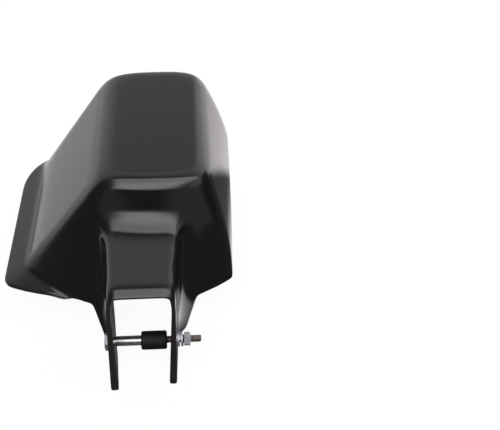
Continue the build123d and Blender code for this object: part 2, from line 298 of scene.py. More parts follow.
# %% Trim
EAR_TIP, EAR_TIP_X, EAR_DROP = (-47.0, -41.5), (-15.0, 15.0), 7.1
EAR_FOOT, EAR_FLARE, EAR_FOOT_LEFT, EAR_FLARE_W = 34.5, 43.8, 2.7, 5.0
EAR_BACK, EAR_BACK_RISE = 5.0, 3.0
RAISED_NEAR, RAISED_OUTER, RAISED_W = 14.4, 45.4, 6.0
RAISED_LEFT, RAISED_FULL, RAISED_LEAST = -72.0, 5.0, -0.06
EDGE_STEP = 0.5
BRIM_NEAR, BRIM_NEAR_W = ((-116.5, 55.8), (-102.0, 47.6), (-50.0, 30.5)), 5.0
BRIM_FAR, BRIM_TAIL, BRIM_TAIL_W = ((-90.0, 235.2), (-116.5, 197.9)), ((-74.0, 230.9), (-96.0, 228.8)), 12.0
BRIM_NEAR_END, BRIM_FAR_END, FREE = (-50.0, -45.0), (-84.0, -76.0), 150.0
BRIM_NEAR_CORNER_W, BRIM_FAR_CORNER_W, TRIM_CORNER_W = 9.0, 14.0, 3.0
HOLE_LEFT, HOLE_RIGHT = 4.2, 3.2


def lower_edge(x, y):
    """Height of the lower edge, which drops to the ears' tips beside the neck."""
    back = np.maximum(y - RIGHT_NEAR_Y, 0.0) / (RIGHT_OUTER_Y - RIGHT_NEAR_Y)
    along = lerp(RAISED_NEAR, RAISED_OUTER, back)
    share = np.maximum((x - RAISED_LEFT) / (RAISED_FULL - RAISED_LEFT), RAISED_LEAST)
    across = lerp(RIM, RAISED_OUTER, share)
    rim = smooth_min(along, across, RAISED_W)
    flare = (RAISED_NEAR + EAR_DROP) / (EAR_FLARE - EAR_FOOT)
    foot = EAR_FOOT - EAR_FOOT_LEFT * (x < 0.0)
    ear = smooth_max(flare * (np.abs(x) - foot), 0.0 * x, EAR_FLARE_W) - EAR_DROP
    behind = EAR_BACK_RISE * np.maximum(y - RIGHT_NEAR_Y - EAR_BACK, 0.0)
    return smooth_min(rim, ear + behind, RAISED_W)


def beside(x, y, a, b):
    """Distance to the left of the line from a to b, seen from above."""
    dx, dy = b[0] - a[0], b[1] - a[1]
    return (dx * (y - a[1]) - dy * (x - a[0])) / math.hypot(dx, dy)


def brim_outline(x, y):
    near = smooth_min(beside(x, y, *BRIM_NEAR[:2]), beside(x, y, *BRIM_NEAR[1:]), BRIM_NEAR_W)
    near = near + FREE * ramp(*BRIM_NEAR_END, x)
    far = smooth_min(beside(x, y, *BRIM_FAR), beside(x, y, *BRIM_TAIL), BRIM_TAIL_W)
    far = far + FREE * ramp(*BRIM_FAR_END, x)
    return smooth_min(smooth_min(x - FLANGE_EDGE[0][0], near, BRIM_NEAR_CORNER_W), far, BRIM_FAR_CORNER_W)


def trim(x, y, z):
    tip = lerp(*EAR_TIP, ramp(*EAR_TIP_X, x))
    lean = (WEB_FRONT - tip) / (WEB_HEIGHT + EAR_DROP)
    front = (y - tip - lean * (z + EAR_DROP)) / np.sqrt(1.0 + lean**2)
    slope_x = (lower_edge(x + EDGE_STEP, y) - lower_edge(x - EDGE_STEP, y)) / (2.0 * EDGE_STEP)
    low = (z - lower_edge(x, y)) / np.sqrt(1.0 + slope_x**2)
    hole = np.hypot(y, z) - np.where(x < 0.0, HOLE_LEFT, HOLE_RIGHT)
    edge = smooth_min(smooth_min(front, low, TRIM_CORNER_W), brim_outline(x, y), TRIM_CORNER_W)
    return np.minimum(edge, hole)


print("Trim: the lower edge climbs from", RAISED_NEAR, "to", RAISED_OUTER, "mm")

# %% [markdown]
# To turn the field into a mesh, space is cut into small cubes. Each cube that the surface
# passes through gets one vertex, and four cubes round a crossed edge share one face, which is
# called *surface nets*. The vertices are then pulled onto the exact surface and evened out.

# %% Surface nets
CELL, EVEN_ROUNDS, EVEN_SHARE = 2.0, 4, 0.5
NET_LOW, NET_HIGH = np.array((-123.0, -52.0, -13.0)), np.array((93.0, 254.0, 113.0))
SLOPE_STEP = 0.05


def slope_of(field, p):
    axes = np.eye(3) * SLOPE_STEP
    return np.stack([(field(*(p + a).T) - field(*(p - a).T)) / (2.0 * SLOPE_STEP) for a in axes], axis=1)


def pull(p, field):
    """Moves points along the field's slope onto its surface."""
    g = slope_of(field, p)
    return p - (field(*p.T) / np.maximum((g * g).sum(1), 1e-6))[:, None] * g


def surface_nets(field):
    counts = np.round((NET_HIGH - NET_LOW) / CELL).astype(int) + 1
    axes = [NET_LOW[i] + CELL * np.arange(counts[i]) for i in range(3)]
    value = field(*np.meshgrid(*axes, indexing="ij"))
    inside = value < 0.0
    cells = tuple(counts - 1)
    total, hits = np.zeros(cells + (3,)), np.zeros(cells)

    def corner(a, offset):
        return a[tuple(slice(o, o + n) for o, n in zip(offset, cells))]

    for axis in range(3):
        for i in (0, 1):
            for j in (0, 1):
                start = [i, j]
                start.insert(axis, 0)
                end = list(start)
                end[axis] = 1
                a, b = corner(value, start), corner(value, end)
                cross = (a < 0.0) != (b < 0.0)
                t = np.where(cross, a / np.where(cross, a - b, 1.0), 0.0)
                point = np.zeros(cells + (3,)) + np.array(start, dtype=float)
                point[..., axis] += t
                total += point * cross[..., None]
                hits += cross
    live = hits > 0
    number = np.full(cells, -1)
    number[live] = np.arange(live.sum())
    place = np.argwhere(live) + total[live] / hits[live][:, None]
    return NET_LOW + CELL * place, net_faces(inside, number, counts)


def net_faces(inside, number, counts):
    """One face for each grid edge that the surface crosses, turned to look outwards."""
    quads = []
    for axis in range(3):
        u, v = [(1, 2), (2, 0), (0, 1)][axis]
        a = inside.take(range(0, counts[axis] - 1), axis=axis)
        b = inside.take(range(1, counts[axis]), axis=axis)
        for edge, outward in ((a & ~b, True), (~a & b, False)):
            at = np.argwhere(edge)
            inner = (at[:, u] > 0) & (at[:, v] > 0)
            at = at[inner & (at[:, u] < counts[u] - 1) & (at[:, v] < counts[v] - 1)]
            ring = []
            for du, dv in ((1, 1), (0, 1), (0, 0), (1, 0)):
                cell = at.copy()
                cell[:, u] -= du
                cell[:, v] -= dv
                ring.append(number[tuple(cell.T)])
            ring = np.stack(ring, axis=1)
            quads.append(ring if outward else ring[:, ::-1])
    return np.concatenate(quads)


def even_out(verts, quads, field):
    """Slides each vertex towards the middle of its neighbours and back onto the surface."""
    a = np.concatenate([quads[:, i] for i in range(4)])
    b = np.concatenate([quads[:, (i + 1) % 4] for i in range(4)])
    for _ in range(EVEN_ROUNDS):
        total, hits = np.zeros_like(verts), np.zeros(len(verts))
        for s, t in ((a, b), (b, a)):
            np.add.at(total, s, verts[t])
            np.add.at(hits, s, 1.0)
        verts = lerp(verts, total / np.maximum(hits, 1.0)[:, None], EVEN_SHARE)
        verts = pull(pull(verts, field), field)
    return verts


net_verts, net_quads = surface_nets(form)
net_verts = pull(pull(net_verts, form), form)
net_verts = even_out(net_verts, net_quads, form)
print("Surface net:", len(net_verts), "vertices,", len(net_quads), "faces")

# %% [markdown]
# Now the net is cut along the trim. Vertices that lie close to the cut are first slid onto
# it, so that no sliver of a face is left, and each face that the cut crosses is clipped. The
# cut lies inside the trim by the radius of the edge's corners, which the next step adds.

# %% Cut the net
EDGE_R, TIP_R, TIP_Z, TIP_Y = 0.6, 1.5, (3.0, -4.0), (-22.0, -30.0)
SNAP, SLIDES, LEAST_SLOPE = 0.35 * CELL, 4, 0.05


def edge_r(p):
    """Radius of the edge's corners, which are rounder at the ears' tips."""
    return lerp(EDGE_R, TIP_R, ramp(*TIP_Z, p[:, 2]) * ramp(*TIP_Y, p[:, 1]))


def to_edge(p):
    """Slides points to where the surface and the trim meet."""
    for _ in range(SLIDES):
        n = slope_of(form, p)
        n /= np.linalg.norm(n, axis=1)[:, None]
        g = slope_of(trim, p)
        along = g - (g * n).sum(1)[:, None] * n
        size = np.maximum((along * along).sum(1), LEAST_SLOPE)
        move = -((trim(*p.T) - edge_r(p)) / size)[:, None] * along
        length = np.linalg.norm(move, axis=1)[:, None]
        p = pull(p + move * np.minimum(1.0, CELL / np.maximum(length, 1e-9)), form)
    return p


def cut(verts, quads):
    depth = trim(*verts.T) - edge_r(verts)
    close = np.abs(depth) < SNAP
    verts = verts.copy()
    verts[close] = to_edge(verts[close])
    depth[close] = 0.0
    state = np.sign(depth).astype(int)
    whole = (state[quads] >= 0).all(1) & (state[quads] > 0).any(1)
    mixed = quads[~whole & (state[quads] > 0).any(1)]
    faces = [list(q) for q in quads[whole]]
    made, new = {}, []

    def crossing(i, j):
        key = (min(i, j), max(i, j))
        if key not in made:
            made[key] = len(verts) + len(new)
            new.append(lerp(verts[i], verts[j], depth[i] / (depth[i] - depth[j])))
        return made[key]

    for a, b, c, d in mixed:
        for triangle in ((a, b, c), (a, c, d)):
            if not any(state[i] > 0 for i in triangle):
                continue
            loop = []
            for i, j in zip(triangle, triangle[1:] + triangle[:1]):
                if state[i] >= 0:
                    loop.append(i)
                if state[i] * state[j] < 0:
                    loop.append(crossing(i, j))
            faces.append(loop)
    verts = np.concatenate([verts, to_edge(np.array(new))])
    used = np.unique(np.concatenate([np.array(f) for f in faces]))
    number = np.full(len(verts), -1)
    number[used] = np.arange(len(used))
    return verts[used], [[int(number[i]) for i in f] for f in faces]


outer_verts, outer_faces = cut(net_verts, net_quads)
print("Trimmed sheet:", len(outer_verts), "vertices,", len(outer_faces), "faces")

# %% [markdown]
# A sheet has two faces and an edge. The inner face is the outer one set in by the wall, and a
# strip of small faces joins them, with both of its corners rounded as a trimmed and scraped
# plastic edge has them. The mesh also keeps, as an attribute, which points lie on that strip,
# because a cut edge has another finish than the moulded faces.

# %% Give the sheet its wall
WALL = 4.0
EAR_ROOT, EAR_END, EAR_LEAN = (-0.8, 20.0), (1.9, -37.0), (0.73, 0.68)
EAR_FADE = (10.0, -10.0)
EDGE_TURNS = (30.0, 60.0, 90.0)


def rim_edges(faces):
    """Directed edges that only one face has."""
    count = {}
    for f in faces:
        for i, j in zip(f, f[1:] + f[:1]):
            count[(i, j)] = count.get((i, j), 0) + 1
    return [e for e in count if (e[1], e[0]) not in count]


def wall_at(p):
    """The wall, a little thinner at the root of the ears and stouter at their tips."""
    along = EAR_LEAN[0] * p[:, 1] + EAR_LEAN[1] * p[:, 2]
    share = np.clip((along - EAR_ROOT[1]) / (EAR_END[1] - EAR_ROOT[1]), 0.0, 1.0)
    return WALL + lerp(EAR_ROOT[0], EAR_END[0], share) * ramp(*EAR_FADE, p[:, 1])


def thicken(verts, faces):
    n = slope_of(form, verts)
    n /= np.linalg.norm(n, axis=1)[:, None]
    total = len(verts)
    wall = wall_at(verts)[:, None]
    inner = verts - wall * n
    edges = rim_edges(faces)
    rim = sorted({i for e in edges for i in e})
    p, m, r = verts[rim], n[rim], edge_r(verts[rim])[:, None]
    g = slope_of(trim, p)
    out = -(g - (g * m).sum(1)[:, None] * m)
    out /= np.maximum(np.linalg.norm(out, axis=1), 1e-6)[:, None]
    rings = []
    turns = [math.radians(t) for t in EDGE_TURNS]
    for t in turns:
        rings.append(p - r * m + r * (math.cos(t) * m + math.sin(t) * out))
    for t in reversed(turns):
        rings.append(p - (wall[rim] - r) * m + r * (math.sin(t) * out - math.cos(t) * m))
    rank = {v: k for k, v in enumerate(rim)}

    def ring_vertex(level, v):
        if level == 0:
            return v
        if level == len(rings) + 1:
            return total + v
        return 2 * total + (level - 1) * len(rim) + rank[v]

    polygons = list(faces) + [[total + i for i in reversed(f)] for f in faces]
    for i, j in edges:
        for k in range(len(rings) + 1):
            corners = ((k, j), (k, i), (k + 1, i), (k + 1, j))
            polygons.append([ring_vertex(level, v) for level, v in corners])
    return np.concatenate([verts, inner] + rings), polygons


shell_verts, shell_faces = thicken(outer_verts, outer_faces)
shell_mesh = bpy.data.meshes.new("formed_shell")
shell_mesh.from_pydata((shell_verts * MM).tolist(), [], shell_faces)
shell_mesh.validate()
shell_mesh.shade_smooth()
trimmed = shell_mesh.attributes.new("trimmed", "FLOAT", "POINT")
on_edge = np.arange(len(shell_verts)) >= 2 * len(outer_verts)
trimmed.data.foreach_set("value", on_edge.astype(np.float32))
shell = bpy.data.objects.new("formed_shell", shell_mesh)
bpy.context.collection.objects.link(shell)
shell_mesh.calc_loop_triangles()
print("Formed shell:", len(shell_mesh.loop_triangles), "triangles")

# %% [markdown]
# ## The shoulder bolt
# The bolt has a plain shank, a smaller threaded end and a hexagon head whose corners are
# turned off. All of it is round or nearly so, so it is made as a lathe would: a row of rings
# along X, each with its own radius. The head's rings take a radius that changes with the
# angle, which gives the six flats and the curved edge where the turned cone meets them.

# %% Lathe
SEGMENTS = 96
ANGLES = np.arange(SEGMENTS) * 2.0 * math.pi / SEGMENTS


def hexagon_radius(across):
    return across / 2.0 / np.cos((ANGLES + math.pi / 6.0) % (math.pi / 3.0) - math.pi / 6.0)


def lathe(name, rings, sharp):
    """rings: (x, radius) pairs, each a number or one value for every angle; ends close."""
    mesh = bpy.data.meshes.new(name)
    rows = []
    for x, r in rings:
        x, r = np.broadcast_to(x, ANGLES.shape), np.broadcast_to(r, ANGLES.shape)
        rows.append(np.stack([x, r * np.cos(ANGLES), r * np.sin(ANGLES)], axis=1))
    verts = np.concatenate(rows)
    last = len(rows) - 1
    faces = [list(range(SEGMENTS))[::-1]]
    for k in range(last):
        here, there = k * SEGMENTS, (k + 1) * SEGMENTS
        for i in range(SEGMENTS):
            j = (i + 1) % SEGMENTS
            faces.append([here + i, here + j, there + j, there + i])
    faces.append([last * SEGMENTS + i for i in range(SEGMENTS)])
    mesh.from_pydata((verts * MM).tolist(), [], faces)
    mesh.validate()
    fix = bmesh.new()
    fix.from_mesh(mesh)
    bmesh.ops.recalc_face_normals(fix, faces=fix.faces)
    fix.to_mesh(mesh)
    fix.free()
    mesh.shade_smooth()
    mesh.set_sharp_from_angle(angle=sharp)
    piece = bpy.data.objects.new(name, mesh)
    bpy.context.collection.objects.link(piece)
    return piece


SEAT_LEFT = NECK_MIDDLE - SEAT_HALF
HEAD_AF, HEAD_H, HEAD_FLAT, HEAD_CONE = 13.0, 5.3, 0.95, math.radians(30.0)
SHANK_R, THREAD_R, THREAD_CORE = 4.0, 3.0, 2.45
SHOULDER_END, SHOULDER_CHAMFER = 16.0, 0.4
BOLT_END, BOLT_CHAMFER = 46.0, 0.8
SHARP = math.radians(25.0)

head = hexagon_radius(HEAD_AF)
flat = HEAD_AF / 2.0 * HEAD_FLAT
top = SEAT_LEFT - HEAD_H
bolt = lathe(
    "shoulder_bolt_turned",
    [
        (top, flat),
        (top + (head - flat) * math.tan(HEAD_CONE), head),
        (SEAT_LEFT, head),
        (SEAT_LEFT, SHANK_R),
        (SHOULDER_END - SHOULDER_CHAMFER, SHANK_R),
        (SHOULDER_END, SHANK_R - SHOULDER_CHAMFER),
        (SHOULDER_END, THREAD_CORE),
        (BOLT_END - BOLT_CHAMFER, THREAD_CORE),
        (BOLT_END, THREAD_CORE - BOLT_CHAMFER),
    ],
    SHARP,
)
print("Bolt:", len(bolt.data.polygons), "faces")

# %% [markdown]
# The thread is a ridge that climbs round the core. A Geometry Nodes tree draws it: a spiral
# curve gives the path and a small square profile, standing on its corner, is swept along it.
# The tree's sizes are named inputs, so the same tree can draw a longer or a finer thread.

# %% Thread
PITCH, RUN_IN, RUN_OUT = 1.0, 0.8, 0.6
THREAD_START, THREAD_END = SHOULDER_END + RUN_IN, BOLT_END - RUN_OUT
TURN_STEPS, PROFILE_SIDES = 32, 4


def thread_tree(material):
    tree = bpy.data.node_groups.new("thread_ridge", "GeometryNodeTree")
    face = tree.interface
    face.new_socket("Geometry", in_out="INPUT", socket_type="NodeSocketGeometry")
    for label in ("Length", "Pitch", "Core radius", "Depth"):
        face.new_socket(label, in_out="INPUT", socket_type="NodeSocketFloat")
    face.new_socket("Geometry", in_out="OUTPUT", socket_type="NodeSocketGeometry")
    made, link = tree.nodes.new, tree.links.new
    given, result = made("NodeGroupInput"), made("NodeGroupOutput")
    turns = made("ShaderNodeMath")
    turns.operation = "DIVIDE"
    link(given.outputs["Length"], turns.inputs[0])
    link(given.outputs["Pitch"], turns.inputs[1])
    spiral = made("GeometryNodeCurveSpiral")
    spiral.inputs["Resolution"].default_value = TURN_STEPS
    link(turns.outputs[0], spiral.inputs["Rotations"])
    link(given.outputs["Core radius"], spiral.inputs["Start Radius"])
    link(given.outputs["Core radius"], spiral.inputs["End Radius"])
    link(given.outputs["Length"], spiral.inputs["Height"])
    upright = made("GeometryNodeSetCurveNormal")
    upright.mode = "Z_UP"
    link(spiral.outputs["Curve"], upright.inputs["Curve"])
    profile = made("GeometryNodeCurvePrimitiveCircle")
    profile.inputs["Resolution"].default_value = PROFILE_SIDES
    link(given.outputs["Depth"], profile.inputs["Radius"])
    sweep = made("GeometryNodeCurveToMesh")
    link(upright.outputs["Curve"], sweep.inputs["Curve"])
    link(profile.outputs["Curve"], sweep.inputs["Profile Curve"])
    sweep.inputs["Fill Caps"].default_value = True
    turn = made("GeometryNodeTransform")
    turn.inputs["Rotation"].default_value = (0.0, math.pi / 2.0, 0.0)
    turn.inputs["Translation"].default_value = (THREAD_START * MM, 0.0, 0.0)
    link(sweep.outputs["Mesh"], turn.inputs["Geometry"])
    real, paint = made("GeometryNodeRealizeInstances"), made("GeometryNodeSetMaterial")
    paint.inputs["Material"].default_value = material
    link(turn.outputs["Geometry"], real.inputs["Geometry"])
    link(real.outputs["Geometry"], paint.inputs["Geometry"])
    link(paint.outputs["Geometry"], result.inputs["Geometry"])
    return tree


def run_tree(name, tree, values):
    """Evaluates a tree on an empty mesh and keeps the result as a plain mesh."""
    piece = bpy.data.objects.new(name, bpy.data.meshes.new(name + "_seed"))
    bpy.context.collection.objects.link(piece)
    modifier = piece.modifiers.new("nodes", "NODES")
    modifier.node_group = tree
    for item in tree.interface.items_tree:
        if item.in_out == "INPUT" and item.name in values:
            modifier[item.identifier] = values[item.name]
    graph = bpy.context.evaluated_depsgraph_get()
    mesh = bpy.data.meshes.new_from_object(piece.evaluated_get(graph))
    piece.modifiers.remove(modifier)
    piece.data = mesh
    mesh.name = name
    return piece


print("Thread:", round((THREAD_END - THREAD_START) / PITCH, 1), "turns")

# %% [markdown]
# ## Finishes
# One group of nodes lays fine dust and scuffs, and every plastic places it with its own
# values. It puts out only a mask, so each material decides what dust does to it. The noise
# reads Object coordinates, so the dust stays where it lies when the piece is moved.

# %% Dust group
DUST_DETAIL, DUST_FROM, DUST_FULL = 3.0, 0.55, 0.80


def dust_group():
    tree = bpy.data.node_groups.new("dust", "ShaderNodeTree")
    face = tree.interface
    for label in ("Scale", "Amount"):
        face.new_socket(label, in_out="INPUT", socket_type="NodeSocketFloat")
    face.new_socket("Mask", in_out="OUTPUT", socket_type="NodeSocketFloat")
    made, link = tree.nodes.new, tree.links.new
    given, result = made("NodeGroupInput"), made("NodeGroupOutput")
    place, noise = made("ShaderNodeTexCoord"), made("ShaderNodeTexNoise")
    noise.inputs["Detail"].default_value = DUST_DETAIL
    link(place.outputs["Object"], noise.inputs["Vector"])
    link(given.outputs["Scale"], noise.inputs["Scale"])
    ranged = made("ShaderNodeMapRange")
    ranged.inputs["From Min"].default_value = DUST_FROM
    ranged.inputs["From Max"].default_value = DUST_FULL
    link(noise.outputs["Fac"], ranged.inputs["Value"])
    link(given.outputs["Amount"], ranged.inputs["To Max"])
    link(ranged.outputs["Result"], result.inputs["Mask"])
    return tree


DUST = dust_group()
print("Dust group:", len(DUST.nodes), "nodes")

# %% [markdown]
# The materials below are made of the same few steps: a new material, the dust mask, a noise on
# Object coordinates, a value spread over a range and a mix of two colours. Each step is a
# small function that returns the socket to link next.

# %% Steps of a material
def new_material(name):
    material = bpy.data.materials.new(name)
    material.use_nodes = True
    return material, material.node_tree, material.node_tree.nodes["Principled BSDF"]


def add_dust(tree, scale, amount):
    group = tree.nodes.new("ShaderNodeGroup")
    group.node_tree = DUST
    group.inputs["Scale"].default_value = scale
    group.inputs["Amount"].default_value = amount
    return group.outputs["Mask"]


def object_noise(tree, scale, detail):
    place, noise = tree.nodes.new("ShaderNodeTexCoord"), tree.nodes.new("ShaderNodeTexNoise")
    noise.inputs["Scale"].default_value = scale
    noise.inputs["Detail"].default_value = detail
    tree.links.new(place.outputs["Object"], noise.inputs["Vector"])
    return noise.outputs["Fac"]


def spread(tree, given, low, high):
    node = tree.nodes.new("ShaderNodeMapRange")
    node.inputs["To Min"].default_value, node.inputs["To Max"].default_value = low, high
    tree.links.new(given, node.inputs["Value"])
    return node.outputs["Result"]


def mix(tree, share, first, second, sockets):
    """A mix of two colours or values, each written out or a socket of another node."""
    node = tree.nodes.new("ShaderNodeMix")
    node.data_type, one, other, result = sockets
    tree.links.new(share, node.inputs[0])
    for place, given in ((one, first), (other, second)):
        if isinstance(given, bpy.types.NodeSocket):
            tree.links.new(given, node.inputs[place])
        else:
            node.inputs[place].default_value = given
    return node.outputs[result]


COLOURS, VALUES = ("RGBA", 6, 7, 2), ("FLOAT", 2, 3, 0)
print("Mix sockets for colours and values:", COLOURS, VALUES)

# %% [markdown]
# The sheet is black plastic with a high gloss. A perfect mirror would look like a drawing, so
# its roughness wanders a little, a faint wave in the surface bends the reflections as a
# moulded sheet does, and fine dust lies on it. The trimmed edge was sawn and scraped, so there
# the black turns a little brown and the gloss is gone.

# %% Black plastic
GLOSS_BLACK = (0.0052, 0.0044, 0.0046, 1.0)
DUST_GREY = (0.060, 0.057, 0.058, 1.0)
CUT_BROWN = (0.0105, 0.0080, 0.0076, 1.0)
PLASTIC_DUST, PLASTIC_IOR = (1400.0, 0.10), 1.5
GLOSS_NOISE, GLOSS_ROUGH, CUT_ROUGH = (60.0, 2.0), (0.08, 0.14), 0.38
WAVE_NOISE, WAVE_HEIGHT = (45.0, 1.0), 0.00008


def black_plastic():
    material, tree, shader = new_material("black_gloss_plastic")
    made, link = tree.nodes.new, tree.links.new
    edge = made("ShaderNodeAttribute")
    edge.attribute_name = "trimmed"
    on_cut = edge.outputs["Fac"]
    dusty = mix(tree, add_dust(tree, *PLASTIC_DUST), GLOSS_BLACK, DUST_GREY, COLOURS)
    link(mix(tree, on_cut, dusty, CUT_BROWN, COLOURS), shader.inputs["Base Color"])
    gloss = spread(tree, object_noise(tree, *GLOSS_NOISE), *GLOSS_ROUGH)
    link(mix(tree, on_cut, gloss, CUT_ROUGH, VALUES), shader.inputs["Roughness"])
    bump = made("ShaderNodeBump")
    bump.inputs["Distance"].default_value = WAVE_HEIGHT
    link(object_noise(tree, *WAVE_NOISE), bump.inputs["Height"])
    link(bump.outputs["Normal"], shader.inputs["Normal"])
    shader.inputs["IOR"].default_value = PLASTIC_IOR
    return material


PLASTIC = black_plastic()
print("Made", PLASTIC.name)

# %% [markdown]
# The fasteners are steel. Nut and washers have a pale zinc plate with a cloudy, satin look, the
# bolt's head is the same but greyer, its shank is drawn bright, and the thread is worn and a
# little brown. One function makes all four: a fine noise mixes two greys and moves the
# roughness with them. The sleeve is a matte black tube that shows more dust than the sheet.

# %% Steel and sleeve
CLOUD_NOISE = (420.0, 4.0)
SLEEVE_BLACK = (0.0075, 0.0055, 0.0058, 1.0)
SLEEVE_DUST, SLEEVE_ROUGH, SLEEVE_SHINE = (1800.0, 0.15), 0.6, 0.3


def plated_steel(name, pale, dark, rough, metal):
    material, tree, shader = new_material(name)
    cloud = object_noise(tree, *CLOUD_NOISE)
    tint = mix(tree, cloud, (*pale, 1.0), (*dark, 1.0), COLOURS)
    tree.links.new(tint, shader.inputs["Base Color"])
    tree.links.new(spread(tree, cloud, *rough), shader.inputs["Roughness"])
    shader.inputs["Metallic"].default_value = metal
    return material


def sleeve_plastic():
    material, tree, shader = new_material("matte_sleeve_plastic")
    tint = mix(tree, add_dust(tree, *SLEEVE_DUST), SLEEVE_BLACK, DUST_GREY, COLOURS)
    tree.links.new(tint, shader.inputs["Base Color"])
    shader.inputs["Roughness"].default_value = SLEEVE_ROUGH
    shader.inputs["Specular IOR Level"].default_value = SLEEVE_SHINE
    return material


ZINC = plated_steel("zinc_plate", (0.52, 0.56, 0.59), (0.36, 0.40, 0.43), (0.32, 0.52), 0.6)
HEAD = plated_steel("satin_head_steel", (0.33, 0.355, 0.375), (0.22, 0.245, 0.265), (0.36, 0.54), 0.6)
SHANK = plated_steel("drawn_shank_steel", (0.42, 0.425, 0.43), (0.35, 0.355, 0.36), (0.22, 0.30), 0.85)
WORN = plated_steel("worn_thread_steel", (0.30, 0.265, 0.25), (0.16, 0.14, 0.13), (0.30, 0.50), 0.8)
SLEEVE = sleeve_plastic()
print("Made", ", ".join(m.name for m in (ZINC, HEAD, SHANK, WORN, SLEEVE)))

# %% [markdown]
# Now each piece gets its finish. The bolt has three, chosen by where a face lies along X. Only
# now is the thread drawn, because its tree sets the material itself. The washers, the nut and
# the sleeve keep their CAD shape and only change their material. The new pieces ride on the
# one body of the part, and the CAD nodes that they replace are hidden.

# %% Dress the pieces
FACE_GAP = 0.1


def paint(node, material):
    mesh = nodes[node].data
    mesh.materials.clear()
    mesh.materials.append(material)


shell.data.materials.append(PLASTIC)
for finish in (HEAD, SHANK, WORN):
    bolt.data.materials.append(finish)
for polygon in bolt.data.polygons:
    along = polygon.center.x / MM
    polygon.material_index = int(along > SEAT_LEFT + FACE_GAP) + int(along > SHOULDER_END + FACE_GAP)
thread = run_tree(
    "bolt_thread",
    thread_tree(WORN),
    {
        "Length": (THREAD_END - THREAD_START) * MM,
        "Pitch": PITCH * MM,
        "Core radius": THREAD_CORE * MM,
        "Depth": (THREAD_R - THREAD_CORE) * MM,
    },
)
for node in ("flat_washer", "spring_washer", "hex_nut"):
    paint(node, ZINC)
paint("spacer_sleeve", SLEEVE)

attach(shell, "root")
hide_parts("shell")
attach(bolt, "root")
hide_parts("shoulder_bolt")
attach(thread, "root")
print("Thread:", len(thread.data.polygons), "faces")

# %% [markdown]
# ## Stage and light
# The floor and the world are made of a few kinds of nodes, so these helpers come first: one
# for any arithmetic, a soft step from one level to another, a product, a mix of two levels and
# a mask that is 0 inside a box on the floor.

# %% Nodes for light
LIT_EDGE = 0.012


def math_node(tree, operation, a, b=0.0, c=0.0):
    node = tree.nodes.new("ShaderNodeMath")
    node.operation = operation
    for socket, given in zip(node.inputs, (a, b, c)):
        if isinstance(given, float):
            socket.default_value = given
        else:
            tree.links.new(given, socket)
    return node.outputs[0]


def soft_step(tree, given, low, high, start=0.0, end=1.0):
    node = tree.nodes.new("ShaderNodeMapRange")
    node.interpolation_type = "SMOOTHSTEP"
    for label, number in (("From Min", low), ("From Max", high), ("To Min", start), ("To Max", end)):
        node.inputs[label].default_value = number
    tree.links.new(given, node.inputs["Value"])
    return node.outputs["Result"]


def product(tree, *parts):
    result = parts[0]
    for part in parts[1:]:
        result = math_node(tree, "MULTIPLY", result, part)
    return result


def between(tree, a, b, share):
    return math_node(tree, "MULTIPLY_ADD", math_node(tree, "SUBTRACT", b, a), share, a)


def outside(tree, x, y, box):
    """0 in a box on the floor, given as left, right, near and far, and 1 round it."""
    edges = []
    for axis, low, high in ((x, *box[:2]), (y, *box[2:])):
        edges.append(soft_step(tree, axis, low - LIT_EDGE, low + LIT_EDGE))
        edges.append(soft_step(tree, axis, high + LIT_EDGE, high - LIT_EDGE))
    return math_node(tree, "SUBTRACT", 1.0, product(tree, *edges))


print("Soft edge of each lit patch:", LIT_EDGE, "m")

# %% [markdown]
# The floor is pale paper. The camera sees it almost white, with a faint shadow. A black glossy
# sheet shows little but what it mirrors, so gloss sees the same paper glowing with painted light
# and shade: bright to the left and behind, painted shadow in front of the guard, under it and to
# its right, and two painted bright patches beside the neck.

# %% Floor
FLOOR_HALF, FLOOR_AHEAD, FLOOR_GAP = 0.9, 0.1, 0.0004
STUDIO_TINT, WHITE = (1.0, 0.955, 0.985, 1.0), (1.0, 1.0, 1.0, 1.0)
PAPER, PAPER_ROUGH = (0.90, 0.90, 0.90, 1.0), 0.9
FLOOR_SHOWN, FLOOR_DIM, FLOOR_LEFT, FLOOR_RIGHT = 0.95, 0.10, 0.78, 1.12
LIT_FRONT, LIT_TURN, LEVEL_TURN = 0.030, 0.30, (-0.167, -0.157)
SHADE_RIGHT, SHADE_SPLAY = (0.090, 2.0, -3.0, 0.152), -0.80
SHADE_UNDER, LIT_LEFT = (-0.040, 0.022, -0.070, 0.230), (-0.080, -0.030, 0.022, 0.060)
LIT_FLARE, FLARE_LEVEL = (0.036, 0.090, 0.008, 0.052), 0.8


def mirrored_level(tree, x, y):
    """How bright the floor's painted light and shade are to gloss, at a place on it."""
    inward = math_node(tree, "MULTIPLY_ADD", x, LIT_TURN, y)
    front = soft_step(tree, inward, LIT_FRONT + LIT_EDGE, LIT_FRONT - LIT_EDGE)
    lit = product(
        tree,
        math_node(tree, "SUBTRACT", 1.0, product(tree, front, outside(tree, x, y, LIT_LEFT))),
        outside(tree, x, math_node(tree, "MULTIPLY_ADD", x, SHADE_SPLAY, y), SHADE_RIGHT),
        outside(tree, x, y, SHADE_UNDER),
    )
    level = soft_step(tree, x, *LEVEL_TURN, FLOOR_LEFT, FLOOR_RIGHT)
    glow = math_node(tree, "SUBTRACT", 1.0, outside(tree, x, y, LIT_FLARE))
    level = math_node(tree, "MULTIPLY_ADD", glow, FLARE_LEVEL, level)
    return between(tree, FLOOR_DIM, level, lit)


